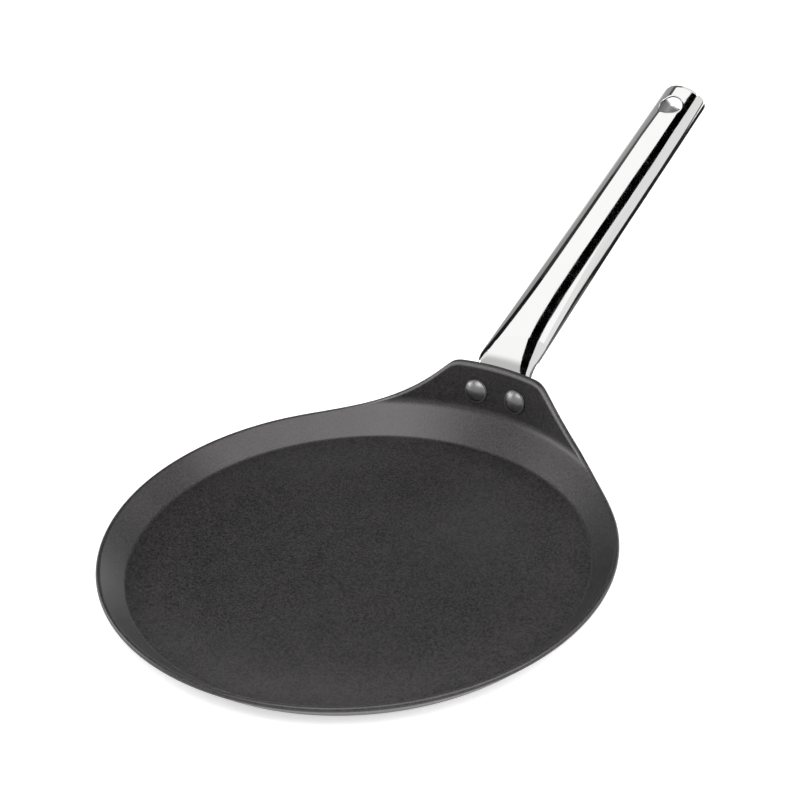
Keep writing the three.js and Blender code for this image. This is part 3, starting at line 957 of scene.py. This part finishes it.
def card(name, corners, shade, faces=None, along="Z"):
    """A studio card that only reflections see.

    Shade is a grey, or stops of place and grey along an axis."""
    material = bpy.data.materials.new(name)
    material.use_nodes = True
    tree = material.node_tree
    tree.nodes.clear()
    glow = tree.nodes.new("ShaderNodeEmission")
    if isinstance(shade, list):
        place = tree.nodes.new("ShaderNodeTexCoord").outputs["Object"]
        split = tree.nodes.new("ShaderNodeSeparateXYZ")
        tree.links.new(place, split.inputs[0])
        stops = [(v * MM, grey) for v, grey in shade]
        tree.links.new(ramp(tree, split.outputs[along], stops), glow.inputs["Color"])
    else:
        glow.inputs["Color"].default_value = (shade, shade, shade, 1)
    tree.links.new(glow.outputs[0], tree.nodes.new("ShaderNodeOutputMaterial").inputs["Surface"])
    made = flat_mesh(name, corners, material, faces)
    made.visible_camera = False
    made.visible_diffuse = False
    made.visible_transmission = False
    made.visible_volume_scatter = False
    made.visible_shadow = False


BACK_CARD = -300  # X of the upright cards beyond the handle
SIDE_CARD = 220  # X of the upright cards on its other side
STRIP_CARD = 500  # height of the dark strip over the handle
WHITE_CARD = 800  # height of the white card over the strip
NEAR_CARD = 75  # height of the cards close over the lug
FAR_CARD = 5000  # distance of the cards far behind
FAR_CORNERS = 12
FOOT_CARD = 0.5  # height of the card that lies beside the handle


def back_card(name, outline, shade):
    card(name, [(BACK_CARD, y, z) for y, z in outline], shade)


def side_card(name, outline, shade):
    card(name, [(SIDE_CARD, y, z) for y, z in outline], shade)


def far_card(name, headings, heights, shade):
    """A far curved card between two headings and two heights, in degrees."""
    turns = np.radians(np.linspace(*headings, FAR_CORNERS))
    low, high = (FAR_CARD * tan(radians(v)) for v in heights)
    corners = [(FAR_CARD * cos(t), FAR_CARD * sin(t), z) for z in (low, high) for t in turns]
    count = len(turns)
    card(name, corners, shade, [(i, i + 1, count + i + 1, count + i) for i in range(count - 1)])


# Along the back cards: the dark bar's lower and upper border, as Y and height
bar_low = [(184, 150), (213, 205), (260, 223), (282, 225), (289, 259), (302, 281), (328, 284)]
bar_low += [(365, 275), (422, 268)]
bar_low += [(458, 279), (488, 300), (503, 345), (620, 345)]
bar_high = [(-60, 150), (-11, 196), (29, 233), (60, 285), (113, 315), (172, 337), (238, 344), (279, 363)]
bar_high += [(322, 372)]
bar_high += [(376, 362), (433, 361), (470, 365), (492, 406), (515, 465), (620, 465)]
BAR_PARTS = ((-60, 335, 0.012), (335, 440, 0.04), (440, 620, 0.1))


def between(outline, first, last):
    """The part of a border from one Y to another."""
    places = [first, *[y for y, _ in outline if first < y < last], last]
    return [(y, float(np.interp(y, *zip(*outline)))) for y in places]


for k, (first, last, shade) in enumerate(BAR_PARTS):
    low = between(bar_low, max(first, bar_low[0][0]), last)
    if k == 0:
        low = [bar_high[0], *low]
    back_card(f"dark_bar_{k}", low + between(bar_high, first, last)[::-1], shade)
grey_outline = [(285, 200), (315, 100), (360, 0), (405, -60), (620, -60), *bar_low[:2:-1]]
back_card("grey_card", grey_outline, [(0, 0.95), (90, 0.75), (170, 0.42), (280, 0.38)])

# The dark strip's two borders, as X and Y
strip_left = [(-172, 215), (-178, 238), (-186, 248), (-190, 265), (-184, 276), (-178, 289), (-146, 316)]
strip_left += [(-97, 344)]
strip_left += [(-44, 373), (25, 407), (79, 442), (140, 476)]
strip_right = [(-108, 213), (-110, 236), (-115, 244), (-110, 258), (-94, 268), (-79, 280), (-20, 309)]
strip_right += [(52, 347)]
strip_right += [(100, 372), (198, 434), (305, 521), (480, 668)]
card("strip_card", [(x, y, STRIP_CARD) for x, y in strip_left + strip_right[::-1]], 0.0)
white_outline = [(-330, 150), (-200, 200), (240, 548), (210, 575), (0, 565), (-300, 630), (-664, 740)]
white_outline += [(-780, 775)]
white_outline += [(-770, 330), (-600, 240), (-450, 180)]
card("white_card", [(x, y, WHITE_CARD) for x, y in white_outline], 1.27)

# Close over the lug: the stripes that the handle's turn mirrors, borders as Y and X
near_grey = [(105, -70), (118, -60), (121, -57), (124, -52), (127, -49), (130, -45.5), (133, -42)]
near_grey += [(138, -40), (158, -41), (166, -38)]
near_left = [(105, -6.5), (112, -6.2), (118, -5.2), (124, -4.2), (130, -3.8), (136, -3), (148, -3)]
near_left += [(156, -4.2), (166, -6)]
near_right = [(105, 2.5), (112, 3), (118, 4), (124, 4.8), (130, 5.5), (136, 6), (142, 6), (148, 5.5)]
near_right += [(156, 4.7), (166, 3.4)]
near_edge = [(105, 12), (112, 12.5), (121, 12.8), (124, 13.8), (130, 15), (150, 17), (166, 24)]
near_out = [(105, 40), (166, 40)]
near_fade = [(124, 0.655), (130, 0.696), (133, 0.763), (136, 0.862), (139, 0.967), (142, 1.08)]
near_fade += [(145, 1.19), (149, 1.24)]
for name, first, last, shade in (
    ("near_grey_card", near_grey, near_left, near_fade),
    ("near_dark_card", near_left, near_right, 0.0),
    ("near_light_card", near_right, near_edge, 0.95),
    ("near_edge_card", near_edge, near_out, 0.24),
):
    card(name, [(x, y, NEAR_CARD) for y, x in first + last[::-1]], shade, along="Y")

# Beside the handle: a light card, a dark border and a grey card, as Y and height
side_line = [(365, 900), (359, 678), (342, 488), (341, 348), (354, 262), (376, 204), (404, 161)]
side_line += [(434, 133), (473, 98)]
side_line += [(503, 86), (546, 68), (566, 74), (580, 95), (620, 105)]
side_inner = [(320, 900), (314, 678), (298, 488), (296, 348), (306, 262), (322, 204), (340, 150)]
side_inner += [(352, 100), (360, 0)]
side_edge = [(430, 900), (440, 600), (450, 480), (460, 425), (465, 393), (475, 348), (485, 328)]
side_edge += [(495, 310), (700, 290)]
side_card("side_light_card", [*side_line, (700, 105), *side_edge[::-1]], 0.95)
side_card("side_dark_card", [*side_inner, (620, 0), *side_line[::-1]], 0.02)
side_outer = [(310, 0), (280, 50), (258, 100), (250, 200), (250, 300), (258, 400), (270, 500)]
side_outer += [(290, 600), (315, 900)]
side_card("side_grey_card", [(360, 0), *side_outer, *side_inner[:-1]], 0.2)
side_foot = [(150, 290), (220, 240), (220, 620), (-40, 620), (-40, 495), (0, 434), (15, 400), (90, 380)]
card("side_card_foot", [(x, y, FOOT_CARD) for x, y in side_foot], 0.03)
far_card("far_grey_card", (80, 172), (12, 58), 0.15)
far_card("far_low_card", (85, 150), (0, 10), 2.6)
